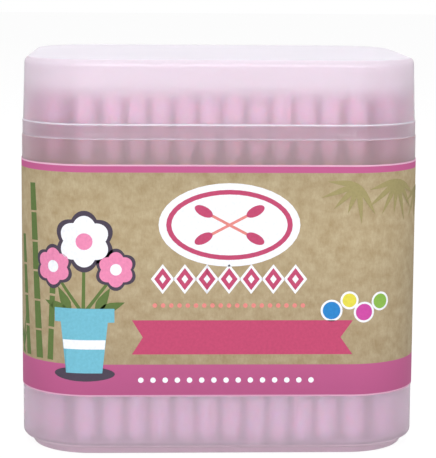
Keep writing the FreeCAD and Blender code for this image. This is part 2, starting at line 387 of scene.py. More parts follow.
@dataclass(frozen=True)
class FrostedPolypropylene:
    """Injection-moulded polypropylene, fine-etched in the mould.

    It lets light through and blurs what is behind it, the more the farther behind it is, and it
    has a soft satin gloss.
    """

    part: str
    tint: str = "#f7e4f3"
    roughness: float = 0.45
    clearness: float = 0.78
    # Painted glow: a stretch of the plastic made whiter and cloudier with height.
    painted_glow: PaintedGlow | None = None
    roughness_spread: float = 0.02
    flow_mm: float = 22.0
    grain_mm: float = 0.35
    grain_depth_mm: float = 0.010

    def add_painted_glow(self, tree: Tree, place: Socket) -> dict:
        """Adds the nodes that make the plastic whiter and cloudier with height, a painted glow.

        Args:
            tree: The material's tree.
            place: Its object coordinates.

        Returns:
            Sockets by the name of the shader's input that they feed.
        """
        if self.painted_glow is None:
            return {}
        height = add_node(tree, "ShaderNodeSeparateXYZ", links={"Vector": place}).outputs["Z"]
        heights = (self.painted_glow.start * MM, self.painted_glow.end * MM)
        share = graded(tree, height, heights, (0.0, 1.0), "SMOOTHSTEP")
        return {
            "Base Color": mixed(tree, share, self.tint, self.painted_glow.tint),
            "Transmission Weight": graded(tree, share, (0.0, 1.0), (self.clearness, self.painted_glow.clearness)),
        }

    def build(self) -> bpy.types.Material:
        """Makes the material."""
        material = blank_material(f"frosted_polypropylene_{self.part}")
        tree = material.node_tree
        place = object_place(tree)
        grain = noise(tree, place, 1 / (self.grain_mm * MM), 2.0)
        flow = noise(tree, place, 1 / (self.flow_mm * MM), 1.0)
        etching = (self.roughness - self.roughness_spread, self.roughness + self.roughness_spread)
        add_surface(
            tree,
            {"Base Color": linear(self.tint), "IOR": 1.49, "Transmission Weight": self.clearness},
            {
                "Roughness": graded(tree, flow, NOISE_RANGE, etching),
                "Normal": bumped(tree, grain, 0.5, self.grain_depth_mm),
                **self.add_painted_glow(tree, place),
            },
        )
        return material


@dataclass(frozen=True)
class CottonWool:
    """Cotton wool wound on a stick: matt, soft at its edge, with fibres that run round it."""

    light: str = "#feecf5"
    shade: str = "#f6c8de"
    fuzz: str = "#ffc6de"
    fibre_mm: float = 0.45
    fibre_depth_mm: float = 0.12
    light_depth_mm: float = 5.0

    def build(self) -> bpy.types.Material:
        """Makes the material."""
        material = blank_material("wound_cotton_wool")
        tree = material.node_tree
        wound = stretched(tree, object_place(tree), (1.0, 1.0, 2.6))
        fibres = noise(tree, wound, 1 / (self.fibre_mm * MM), 4.0, 0.6)
        add_surface(
            tree,
            {
                "Roughness": 1.0,
                "Sheen Weight": 1.0,
                "Sheen Roughness": 0.5,
                "Sheen Tint": linear(self.fuzz),
                "Specular IOR Level": 0.1,
                "Subsurface Weight": 1.0,
                "Subsurface Scale": self.light_depth_mm * MM,
                "Subsurface Radius": (1.0, 0.4, 0.55),
            },
            {
                "Base Color": mixed(tree, fibres, self.shade, self.light),
                "Normal": bumped(tree, fibres, 0.6, self.fibre_depth_mm),
            },
        )
        return material


@dataclass(frozen=True)
class TurnedBamboo:
    """Bamboo turned to thin sticks: pale straw colour with fine grain along the stick."""

    light: str = "#efd3a6"
    shade: str = "#d3a972"
    grain_mm: float = 0.25
    grain_depth_mm: float = 0.05

    def build(self) -> bpy.types.Material:
        """Makes the material."""
        material = blank_material("turned_bamboo")
        tree = material.node_tree
        drawn = stretched(tree, object_place(tree), (1.0, 1.0, 0.04))
        grain = noise(tree, drawn, 1 / (self.grain_mm * MM), 3.0)
        add_surface(
            tree,
            {"Roughness": 0.55},
            {
                "Base Color": mixed(tree, grain, self.shade, self.light),
                "Normal": bumped(tree, grain, 0.4, self.grain_depth_mm),
            },
        )
        return material


@dataclass(frozen=True)
class PrintedKraftPaper:
    """Coated label paper printed as kraft paper: a fibrous tan ground between two pink bands.

    The fibres are printed, so the face is smooth and has the low gloss of a varnish.
    """

    ground: str = "#b4a587"
    fibre: str = "#9b8867"
    band: str = "#bb5e8c"
    hairline: str = "#dfb0c8"
    hairline_width: float = 0.35
    low_band_top: float = 20.1
    high_band_foot: float = 61.3
    foot: float = 13.1
    top: float = 63.0

    def between(self, tree: Tree, height: Socket, low: float, high: float) -> Socket:
        """Adds a node that is 1 between two heights and 0 elsewhere, and returns its result."""
        return calculate(tree, "COMPARE", height, (low + high) / 2, (high - low) / 2)

    def build(self) -> bpy.types.Material:
        """Makes the material, on the label's UV map scaled to millimetres."""
        material = blank_material("printed_kraft_paper")
        tree = material.node_tree
        place = add_node(tree, "ShaderNodeUVMap", {"uv_map": "label"}).outputs["UV"]
        sheet = stretched(tree, place, (UV_WIDTH, UV_HEIGHT, 1.0))
        height = add_node(tree, "ShaderNodeSeparateXYZ", links={"Vector": sheet}).outputs["Y"]
        mottle = noise(tree, sheet, 0.35, 5.0, 0.65)
        fibres = noise(tree, stretched(tree, sheet, (1.0, 0.35, 1.0), 0.35), 2.4, 3.0, 0.7)
        both = calculate(tree, "MULTIPLY_ADD", fibres, 0.45, mottle)
        kraft = mixed(tree, graded(tree, both, (0.5, 0.95), (0.0, 1.0)), self.ground, self.fibre)
        on_kraft = self.between(tree, height, self.low_band_top, self.high_band_foot)
        printed = mixed(tree, on_kraft, self.band, kraft)
        inside = self.between(tree, height, self.foot + self.hairline_width, self.top - self.hairline_width)
        add_surface(
            tree,
            {"Roughness": 0.7, "Specular IOR Level": 0.12},
            {
                "Base Color": mixed(tree, inside, self.hairline, printed),
                "Normal": bumped(tree, mottle, 0.15, 0.05),
            },
        )
        return material


class Ink(Enum):
    """Printing inks of the label, each with its colour."""

    CRIMSON = "#b84a6c"
    WHITE = "#e9ebf1"
    SALMON = "#d9857f"
    GREEN = "#5d7240"
    OLIVE = "#9a9064"
    TURQUOISE = "#6fb3c6"
    SLATE = "#4b4350"
    BLUE = "#2f7fc0"
    YELLOW = "#d9cf4e"
    MAGENTA = "#c24b9c"
    LIME = "#86b04f"
    ROSE = "#df86ab"

    def build(self) -> bpy.types.Material:
        """Offset ink on coated paper: flat colour, broken a little by the paper's grain."""
        material = blank_material(f"ink_{self.name.lower()}")
        tree = material.node_tree
        grain = noise(tree, object_place(tree), 1 / (0.6 * MM), 3.0)
        shade = graded(tree, grain, NOISE_RANGE, (0.93, 1.05))
        colour = add_node(tree, "ShaderNodeHueSaturation", {"Color": linear(self.value)}, {"Value": shade})
        settings = {"Roughness": 0.7, "Specular IOR Level": 0.12}
        add_surface(tree, settings, {"Base Color": colour})
        return material


@dataclass
class Tub:
    """The tub: an upright shell on an inset foot, with a thin neck and four snap lugs."""

    finish: FrostedPolypropylene = FrostedPolypropylene("tub")
    # Painted light and shade on the base: the milkier plastic lights the shaded underside of the foot, and
    # the darker mauve tint paints shade near the floor.
    painted_foot_light_and_shade: FrostedPolypropylene = FrostedPolypropylene("foot", "#e3c8d8", 0.45, 0.4)
    # Painted shade: darker, pinker plastic from the label up to the rim, for the shaded swabs and sticks
    # behind the neck.
    painted_neck_shade: FrostedPolypropylene = FrostedPolypropylene("neck", "#ecccd4", 0.42, 0.82)
    # Painted highlight: near-white, nearly opaque plastic, so that the lugs show as bright dashes through the
    # collar.
    painted_lug_highlight: FrostedPolypropylene = FrostedPolypropylene("lug", "#ffffff", 0.35, 0.1)
    wall: float = 1.2
    floor: float = 2.3
    foot_inset: float = 2.4
    foot_height: float = 1.4
    foot_ring: float = 1.6
    foot_recess: float = 1.0
    foot_flare: float = 0.8
    base_slope: float = 0.8
    base_round: float = 1.1
    label_top: float = 62.7
    shoulder: float = 68.2
    neck_set_back: float = 0.72
    rim: float = 70.8
    lug_at: float = 26.5
    lug_length: float = 5.0
    lug_height: float = 0.45
    lug_proud: float = 0.06
    lug_lift: float = 0.85
    lug_round: float = 0.12

    def profile(self) -> Profile:
        """The section of the wall, from the middle of the base to the middle of the floor."""
        ring_inner = -(self.foot_inset + self.foot_ring)
        return rounded_profile(
            [
                (CAP_INSET, self.foot_recess, 0.0),
                (ring_inner, self.foot_recess, 0.2),
                (ring_inner, 0.0, 0.35),
                (-self.foot_inset, 0.0, 0.45),
                (-self.foot_inset + self.foot_flare, self.foot_height, 0.5),
                (0.0, self.foot_height + self.base_slope, self.base_round),
                (0.0, self.label_top, 0.0),
                (0.0, self.shoulder, 0.15),
                (-self.neck_set_back, self.shoulder, 0.1),
                (-self.neck_set_back, self.rim, 0.2),
                (-self.wall, self.rim, 0.2),
                (-self.wall, self.floor, 1.0),
                (CAP_INSET, self.floor, 0.0),
            ]
        )

    def lug_mesh(self) -> bpy.types.Mesh:
        """The four snap lugs, each a low bar with a round face that stands out of the neck."""
        bars = bmesh.new()
        root = self.wall - self.neck_set_back - 0.1
        for sign_x in (-1, 1):
            for sign_y in (-1, 1):
                face = OUTLINE.depth / 2 - self.neck_set_back
                centre_y = sign_y * (face + (self.lug_proud - root) / 2)
                size = (self.lug_length, root + self.lug_proud, self.lug_height)
                place = (sign_x * self.lug_at, centre_y, self.shoulder + self.lug_lift + self.lug_height / 2)
                scale = Matrix.Diagonal((*(side * MM for side in size), 1.0))
                matrix = Matrix.Translation(Vector(place) * MM) @ scale
                bmesh.ops.create_cube(bars, size=1.0, matrix=matrix)
        bmesh.ops.bevel(bars, geom=bars.edges[:], offset=self.lug_round * MM, segments=2, affect="EDGES")
        for face in bars.faces:
            face.smooth = True
        return plain_mesh("snap_lugs", bars)

    def build(self) -> list[bpy.types.Object]:
        """Makes the tub's shell and its lugs."""
        # Material 1, on the base, carries painted light and shade; material 2, from the label up to the rim,
        # carries painted shade.
        zones = [(0.0, self.floor, 1), (self.label_top, self.rim + 0.1, 2)]
        shell = add_object("tub_shell", shell_mesh("tub_shell", self.profile(), zones))
        for finish in (self.finish, self.painted_foot_light_and_shade, self.painted_neck_shade):
            shell.data.materials.append(finish.build())
        lugs = add_object("snap_lugs", self.lug_mesh())
        lugs.data.materials.append(self.painted_lug_highlight.build())
        assign([shell, lugs], "tub")
        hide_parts("tub")
        return [shell, lugs]


@dataclass
class Lid:
    """The lid: a thick collar over the neck, a leaning wall, and a flat top with a round edge."""

    # The lid turns whiter and cloudier above the tips: a painted glow of light through its top.
    finish: FrostedPolypropylene = FrostedPolypropylene(
        "lid", "#fcebf6", 0.44, 0.88, PaintedGlow(75.5, 80.5, "#fff3fd", 0.6)
    )
    # Painted highlight: near-white, nearly opaque plastic for the bright lines at the collar's edges.
    painted_edge_highlight: FrostedPolypropylene = FrostedPolypropylene("lid_edge", "#f6f2fb", 0.45, 0.22)
    # Painted reflection: whiter, cloudier plastic that makes the flat top as bright as its gloss at a low
    # angle.
    painted_top_reflection: FrostedPolypropylene = FrostedPolypropylene("lid_top", "#faf6ff", 0.45, 0.44)
    foot: float = 68.2
    ledge: float = 71.1
    collar_top: float = 71.4
    collar_face: float = -0.12
    collar_step: float = 0.16
    bore: float = -0.62
    wall: float = 0.9
    lean: float = 0.4
    top: float = 85.0
    top_round: float = 1.3
    thickness: float = 1.0

    def profile(self) -> Profile:
        """The section of the lid, from the middle of its ceiling to the middle of its top."""
        face = self.collar_face - self.collar_step
        return rounded_profile(
            [
                (CAP_INSET, self.top - self.thickness, 0.0),
                (face - self.lean - self.wall, self.top - self.thickness, 1.0),
                (face - self.wall, self.ledge, 0.12),
                (self.bore, self.ledge, 0.1),
                (self.bore, self.foot, 0.06),
                (self.collar_face, self.foot, 0.08),
                (self.collar_face, self.collar_top, 0.15),
                (face, self.collar_top, 0.08),
                (face - self.lean, self.top, self.top_round),
                (CAP_INSET, self.top, 0.0),
            ]
        )

    def build(self) -> list[bpy.types.Object]:
        """Makes the lid's shell."""
        zones = [
            # Painted highlights on the lid's lower edge and on the collar's top ledge.
            (self.foot, self.foot + 0.2, 1),
            (self.collar_top - 0.16, self.collar_top + 0.1, 1),
            # Painted reflection on the flat top.
            (self.top - 0.05, self.top + 0.1, 2),
        ]
        shell = add_object("lid_shell", shell_mesh("lid_shell", self.profile(), zones))
        for finish in (self.finish, self.painted_edge_highlight, self.painted_top_reflection):
            shell.data.materials.append(finish.build())
        assign([shell], "lid")
        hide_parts("lid")
        return [shell]


@dataclass(frozen=True)
class Shape:
    """One flat shape of the print: its ink, its layer, and its corners along and up the label."""

    ink: Ink
    layer: int
    corners: tuple[Point, ...]


def ellipse(centre: Point, reach: Point, turn: float = 0.0, steps: int = 40) -> tuple[Point, ...]:
    """Corners of an ellipse.

    Args:
        centre: Its middle.
        reach: Half its width and half its height.
        turn: How far it is turned, in degrees.
        steps: Number of corners.

    Returns:
        The corners, counter-clockwise.
    """
    angle = math.radians(turn)
    corners = []
    for step in range(steps):
        t = 2 * math.pi * step / steps
        x, y = reach[0] * math.cos(t), reach[1] * math.sin(t)
        corners.append(spun(centre, x, y, angle))
    return tuple(corners)


def strip(start: Point, end: Point, start_width: float, end_width: float) -> tuple[Point, ...]:
    """Corners of a straight strip between two points, with a width at each."""
    a, b = Vector(start), Vector(end)
    across = (b - a).normalized().orthogonal() / 2
    right = (a - across * start_width, b - across * end_width)
    left = (b + across * end_width, a + across * start_width)
    return tuple(tuple(corner) for corner in (*right, *left))


def leaf(root: Point, length: float, width: float, turn: float) -> tuple[Point, ...]:
    """Corners of a slender leaf.

    Args:
        root: Where it joins its twig.
        length: From root to tip.
        width: At its widest.
        turn: Direction of its tip, in degrees from the right.

    Returns:
        The corners, counter-clockwise.
    """
    edge = ((0.0, 0.05), (0.12, 0.32), (0.3, 0.5), (0.5, 0.46), (0.75, 0.26))
    lower = [(part, -side) for part, side in edge]
    angle = math.radians(turn)
    shape = (*lower, (1.0, 0.0), *reversed(edge))
    return tuple(spun(root, part * length, side * width, angle) for part, side in shape)


@dataclass
class Label:
    """The label: a paper sleeve glued round the tub, lapped at the back, with its printed motifs."""

    paper: PrintedKraftPaper = PrintedKraftPaper()
    foot: float = 13.1
    top: float = 63.0
    glue: float = 0.03
    stock: float = 0.12
    lap: float = 9.0
    lap_rise: float = 4.0
    ink_film: float = 0.012
    step: float = 0.75

    def sleeve_mesh(self) -> bpy.types.Mesh:
        """The sleeve as a thin closed strip that ends on top of its own start."""
        half = OUTLINE.perimeter / 2
        start, end = -half - self.lap / 2, half + self.lap / 2
        count = round((end - start) / self.step)
        paper = bmesh.new()
        uv = paper.loops.layers.uv.new("label")
        rows = []
        for i in range(count + 1):
            along = start + (end - start) * i / count
            climb = half - self.lap / 2 - self.lap_rise
            rise = min(max((along - climb) / self.lap_rise, 0.0), 1.0)
            lift = self.glue + self.stock * rise * rise * (3 - 2 * rise)
            inner = OUTLINE.at(along, lift)
            outer = OUTLINE.at(along, lift + self.stock)
            corners = ((inner, self.foot), (outer, self.foot), (outer, self.top), (inner, self.top))
            rows.append((along, [paper.verts.new((x * MM, y * MM, z * MM)) for (x, y), z in corners]))
        heights = (self.foot, self.foot, self.top, self.top)
        for (u0, before), (u1, after) in zip(rows, rows[1:]):
            for i in range(4):
                j = (i + 1) % 4
                face = paper.faces.new((before[i], after[i], after[j], before[j]))
                places = ((u0, heights[i]), (u1, heights[i]), (u1, heights[j]), (u0, heights[j]))
                for loop, (u, z) in zip(face.loops, places):
                    loop[uv].uv = (u / UV_WIDTH + 0.5, z / UV_HEIGHT)
                face.smooth = i in (1, 3)
        for (u, row), turned in ((rows[0], False), (rows[-1], True)):
            order = list(range(4)) if not turned else [3, 2, 1, 0]
            face = paper.faces.new([row[i] for i in order])
            for loop, i in zip(face.loops, order):
                loop[uv].uv = (u / UV_WIDTH + 0.5, heights[i] / UV_HEIGHT)
        for edge in paper.edges:
            if len(edge.link_faces) == 2 and edge.calc_face_angle() > math.radians(40):
                edge.smooth = False
        return plain_mesh("label_sleeve", paper)

    def print_mesh(self, name: str, shapes: Sequence[Shape]) -> bpy.types.Mesh:
        """Lays flat shapes on the label's face, each layer a film above the one under it.

        Args:
            name: The mesh's name.
            shapes: The shapes, with corners in millimetres along and up the label.

        Returns:
            A mesh with one material for each ink.
        """
        inks = sorted({shape.ink for shape in shapes}, key=lambda ink: ink.name)
        sheet = bmesh.new()
        for shape in shapes:
            face = sheet.faces.new([sheet.verts.new((u, z, shape.layer)) for u, z in shape.corners])
            face.material_index = inks.index(shape.ink)
        lows = [v.co.x for v in sheet.verts]
        cut = math.floor(min(lows) / self.step) * self.step
        while cut < max(lows):
            geometry = sheet.verts[:] + sheet.edges[:] + sheet.faces[:]
            bmesh.ops.bisect_plane(sheet, geom=geometry, plane_co=(cut, 0, 0), plane_no=(1, 0, 0))
            cut += self.step
        bmesh.ops.triangulate(sheet, faces=[f for f in sheet.faces if len(f.verts) > 4])
        for vertex in sheet.verts:
            along, height, level = vertex.co
            x, y = OUTLINE.at(along, self.glue + self.stock + self.ink_film * (level + 1))
            vertex.co = Vector((x, y, height)) * MM
        sheet.normal_update()
        for face in sheet.faces:
            middle = face.calc_center_median()
            if face.normal.dot(Vector((middle.x, middle.y, 0))) < 0:
                face.normal_flip()
            face.smooth = True
        mesh = plain_mesh(name, sheet)
        for ink in inks:
            mesh.materials.append(self.inks[ink])
        return mesh

    def badge(self) -> list[Shape]:
        """An oval badge with a crimson line, and a pair of crossed swabs in it."""
        centre = (1.7, 50.2)
        ovals = ((Ink.WHITE, (15.0, 8.9)), (Ink.CRIMSON, (13.4, 7.5)), (Ink.WHITE, (12.3, 6.5)))
        shapes = [Shape(ink, layer, ellipse(centre, reach)) for layer, (ink, reach) in enumerate(ovals)]
        for layer, turn in ((3, 28.0), (5, 152.0)):
            reach = Vector((math.cos(math.radians(turn)), math.sin(math.radians(turn)))) * 6.2
            low, high = Vector(centre) - reach, Vector(centre) + reach
            shapes.append(Shape(Ink.SALMON, layer, strip(tuple(low), tuple(high), 0.6, 0.6)))
            for end in (low, high):
                shapes.append(Shape(Ink.CRIMSON, layer + 1, ellipse(tuple(end), (2.1, 1.05), turn, 24)))
        return shapes

    def borders(self) -> list[Shape]:
        """Rows of diamonds and dots across the front."""
        shapes = []
        level = 38.6
        diamonds = ((Ink.WHITE, 2.5, 3.2), (Ink.CRIMSON, 1.8, 2.4), (Ink.WHITE, 0.7, 0.95))
        for i in range(7):
            x = 1.7 + (i - 3) * 4.7
            for layer, (ink, wide, high) in enumerate(diamonds):
                corners = ((x - wide, level), (x, level - high), (x + wide, level), (x, level + high))
                shapes.append(Shape(ink, layer, corners))
        for i in range(19):
            dot = ellipse((1.7 + (i - 9) * 1.75, 32.9), (0.5, 0.5), steps=12)
            shapes.append(Shape(Ink.SALMON, 0, dot))
        for i in range(15):
            dot = ellipse((1.2 + (i - 7) * 2.6, 16.7), (0.6, 0.6), steps=12)
            shapes.append(Shape(Ink.WHITE, 0, dot))
        return shapes

    def ribbon(self) -> list[Shape]:
        """A ribbon with a notched end on each side."""
        low, high = 22.3, 29.7
        middle = (low + high) / 2
        right = ((24.6, low), (28.2, low), (25.6, middle), (28.2, high))
        return [Shape(Ink.CRIMSON, 0, ((-18.9, low), *right, (-18.9, high), (-16.6, middle)))]

    def confetti(self) -> list[Shape]:
        """Four bright dots with pale rims."""
        dots = (
            (23.6, 31.8, 1.9, Ink.BLUE),
            (27.4, 34.0, 1.5, Ink.YELLOW),
            (30.6, 31.4, 1.8, Ink.MAGENTA),
            (34.3, 33.6, 1.6, Ink.LIME),
        )
        shapes = []
        for x, y, radius, ink in dots:
            shapes.append(Shape(Ink.WHITE, 0, ellipse((x, y), (radius + 0.45, radius + 0.45), steps=28)))
            shapes.append(Shape(ink, 1, ellipse((x, y), (radius, radius), steps=28)))
        return shapes

    def flower_pot(self) -> list[Shape]:
        """A turquoise pot of white and rose blossoms."""
        shapes = []
        for end in ((-36.0, 40.5), (-29.0, 45.5), (-22.3, 40.0)):
            shapes.append(Shape(Ink.GREEN, 0, strip((-29.2, 31.0), end, 0.8, 0.6)))
        for turn, x in ((60.0, -26.5), (118.0, -32.0), (20.0, -26.0), (160.0, -32.5)):
            shapes.append(Shape(Ink.GREEN, 0, leaf((x, 31.5), 6.0, 2.2, turn)))
        blossoms = ((-36.0, 41.0, 2.1, Ink.ROSE), (-29.0, 46.6, 2.9, Ink.WHITE), (-22.3, 40.6, 2.0, Ink.ROSE))
        for x, y, size, ink in blossoms:
            shapes.append(Shape(Ink.SLATE, 1, self.petals((x, y), size * 1.13, 1.06)))
            shapes.append(Shape(ink, 2, self.petals((x, y), size, 1.0)))
            heart = Ink.ROSE if ink is Ink.WHITE else Ink.WHITE
            shapes.append(Shape(heart, 3, ellipse((x, y), (size * 0.62, size * 0.62), steps=20)))
        pot = ((-34.4, 31.2), (-33.0, 18.2), (-25.2, 18.2), (-23.8, 31.2))
        shapes.append(Shape(Ink.SLATE, 1, ellipse((-29.1, 18.0), (6.6, 1.6), steps=28)))
        shapes.append(Shape(Ink.TURQUOISE, 2, pot))
        shapes.append(Shape(Ink.TURQUOISE, 3, ((-35.6, 29.2), (-22.6, 29.2), (-22.6, 32.2), (-35.6, 32.2))))
        shapes.append(Shape(Ink.WHITE, 3, ((-33.7, 25.4), (-33.5, 23.4), (-24.7, 23.4), (-24.5, 25.4))))
        return shapes

    def petals(self, centre: Point, size: float, spread: float) -> tuple[Point, ...]:
        """Corners of a blossom of six round petals."""
        corners = []
        steps = 72
        for step in range(steps):
            turn = 2 * math.pi * step / steps
            reach = size * spread * (1.55 + 0.35 * abs(math.sin(3 * turn)))
            corners.append((centre[0] + reach * math.cos(turn), centre[1] + reach * math.sin(turn)))
        return tuple(corners)

    def stalks(self, foot: Point, top: Point, width: float, joints: int) -> list[Shape]:
        """One bamboo stalk, with a pale gap at each joint."""
        shapes = []
        a, b = Vector(foot), Vector(top)
        for i in range(joints):
            low = a.lerp(b, (i + 0.035) / joints)
            high = a.lerp(b, (i + 0.965) / joints)
            shapes.append(Shape(Ink.GREEN, 0, strip(tuple(low), tuple(high), width, width * 0.9)))
        return shapes

    def bamboo(self, around: float) -> list[Shape]:
        """A clump of bamboo stalks and grass, centred at a place along the label."""
        shapes = self.stalks((around - 2.6, 20.4), (around - 5.0, 47.0), 1.9, 4)
        shapes += self.stalks((around + 1.6, 20.4), (around - 0.6, 58.6), 2.1, 6)
        shapes += self.stalks((around + 4.6, 20.4), (around + 5.6, 42.0), 1.5, 3)
        for i, turn in enumerate((62.0, 78.0, 95.0, 112.0, 128.0)):
            blade = leaf((around - 6.6 + 0.5 * i, 20.4), 6.5 + (i % 2) * 3.0, 0.9, turn)
            shapes.append(Shape(Ink.GREEN, 0, blade))
        return shapes

    def spray(self, root: Point, first: float, last: float, count: int, length: float) -> list[Shape]:
        """A spray of faint leaves that fan from one point, each a film above the one before."""
        shapes = []
        for i in range(count):
            turn = first + (last - first) * i / (count - 1)
            size = length * (0.78 + 0.22 * ((i * 5) % 3) / 2)
            shapes.append(Shape(Ink.OLIVE, i, leaf(root, size, 1.25, turn)))
        return shapes

    def leaves(self, around: float) -> list[Shape]:
        """Faint sprays of leaves that hang from the upper band."""
        shapes = self.spray((around - 9.0, 58.9), 175.0, 300.0, 6, 8.5)
        shapes += self.spray((around + 0.5, 59.6), 195.0, 330.0, 7, 9.5)
        shapes += self.spray((around + 9.5, 57.2), 205.0, 345.0, 6, 8.0)
        return shapes

    def build(self) -> list[bpy.types.Object]:
        """Makes the sleeve and its printed motifs."""
        self.inks = {ink: ink.build() for ink in Ink}
        sleeve = add_object("label_sleeve", self.sleeve_mesh())
        sleeve.data.materials.append(self.paper.build())
        pieces = [sleeve]
        motifs = {
            "print_badge": self.badge(),
            "print_borders": self.borders(),
            "print_ribbon": self.ribbon(),
            "print_confetti": self.confetti(),
            "print_flower_pot": self.flower_pot(),
            "print_bamboo": self.bamboo(-41.5) + self.bamboo(97.0),
            "print_leaves": self.leaves(38.0) + self.leaves(-92.0),
        }
        for name, shapes in motifs.items():
            pieces.append(add_object(name, self.print_mesh(name, shapes)))
        assign(pieces, "tub")
        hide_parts("label")
        return pieces


# Moves in X and Y, in millimetres, of the swabs that have settled towards the wall at the two front
# corners, by row and by place in the row from either end.
CORNER_MOVES = {
    "02": {0: (0.6, -1.5), 1: (1.7, -4.1), -2: (-1.7, -4.1), -1: (-0.6, -1.5)},
    "03": {0: (-0.6, 0.4), -1: (0.6, 0.4)},
}

# A cotton tip's width as a share of its widest, from the stick to the end.
TIP_SWELL = ((0.0, 0.46), (0.14, 0.7), (0.32, 0.92), (0.6, 1.0), (0.85, 0.95), (0.96, 0.74), (1.0, 0.38))


def swab_group(
    name: str, lengths: dict[str, float], flags: Sequence[str] = ()
) -> tuple[Tree, bpy.types.Node]:
    """Starts a group of geometry nodes that stands a form on each swab's foot.

    Args:
        name: The group's name.
        lengths: The inputs that are lengths, each with its default in millimetres.
        flags: The inputs that are on or off.

    Returns:
        The group, and the node that holds its inputs.
    """
    tree = bpy.data.node_groups.new(name, "GeometryNodeTree")
    kinds = {"Geometry": "Geometry", **dict.fromkeys(lengths, "Float"), **dict.fromkeys(flags, "Bool")}
    for label, kind in {**kinds, "Finish": "Material"}.items():
        socket = tree.interface.new_socket(label, in_out="INPUT", socket_type=f"NodeSocket{kind}")
        if label in lengths:
            socket.default_value = lengths[label] * MM
    tree.interface.new_socket("Geometry", in_out="OUTPUT", socket_type="NodeSocketGeometry")
    return tree, add_node(tree, "NodeGroupInput")


def stand(tree: Tree, points: Socket, height: Socket, form: Socket, turn: Socket | None = None) -> Socket:
    """Stands a form at a height over each point, as real geometry.

    Args:
        tree: The group of geometry nodes.
        points: The points.
        height: How far above its point each form starts.
        form: The mesh that stands there.
        turn: Each form's rotation.

    Returns:
        All the forms as one mesh.
    """
    offset = add_node(tree, "ShaderNodeCombineXYZ", links={"Z": height}).outputs["Vector"]
    raised = add_node(tree, "GeometryNodeSetPosition", links={"Geometry": points, "Offset": offset})
    links = {"Points": raised, "Instance": form}
    if turn is not None:
        links["Rotation"] = turn
    forms = add_node(tree, "GeometryNodeInstanceOnPoints", links=links)
    real = add_node(tree, "GeometryNodeRealizeInstances", links={"Geometry": forms})
    return real.outputs["Geometry"]


def send_out(tree: Tree, geometry: Socket, finish: Socket) -> None:
    """Smooths the geometry, gives it its material, and makes it the group's result."""
    smooth = add_node(tree, "GeometryNodeSetShadeSmooth", links={"Geometry": geometry})
    links = {"Geometry": smooth, "Material": finish}
    dressed = add_node(tree, "GeometryNodeSetMaterial", links=links)
    add_node(tree, "NodeGroupOutput", links={"Geometry": dressed})


